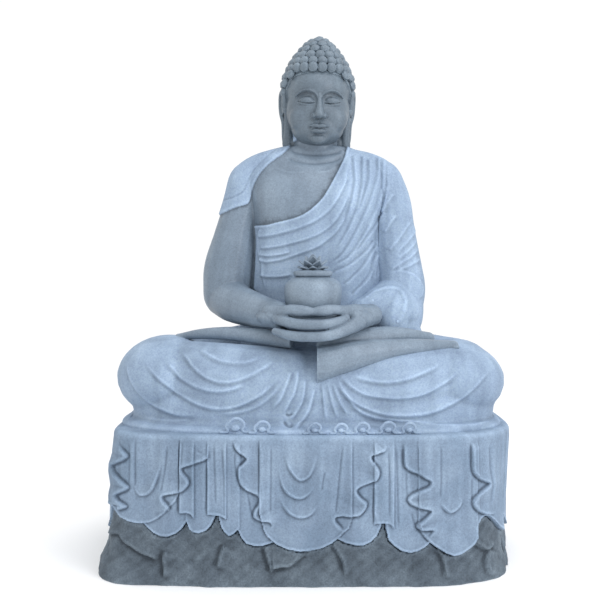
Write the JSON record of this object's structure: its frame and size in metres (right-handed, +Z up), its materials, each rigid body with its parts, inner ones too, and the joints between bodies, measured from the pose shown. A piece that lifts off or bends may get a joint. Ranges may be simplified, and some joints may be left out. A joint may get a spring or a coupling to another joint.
{
  "type": "medicine buddha statue",
  "caption": "Seated stone buddha in a pleated robe, holding a leafy medicine jar in its lap, on a plinth of rock hung with carved cloth.",
  "frame": {"origin": "on the floor, at the middle of the plinth's underside", "axes": "+Z up, the figure faces -Y, and +X is the figure's own left hand side"},
  "size_m": [2.0905, 1.391, 2.7017],
  "materials": {
    "figure_granite": "grey granite, the robe finely pointed and the skin honed",
    "plinth_granite": "grey granite, the cloth finely pointed and the rock rough hewn"
  },
  "bodies": {
    "root": {"figure": "figure_granite", "plinth": "plinth_granite"}
  },
  "joints": []
}
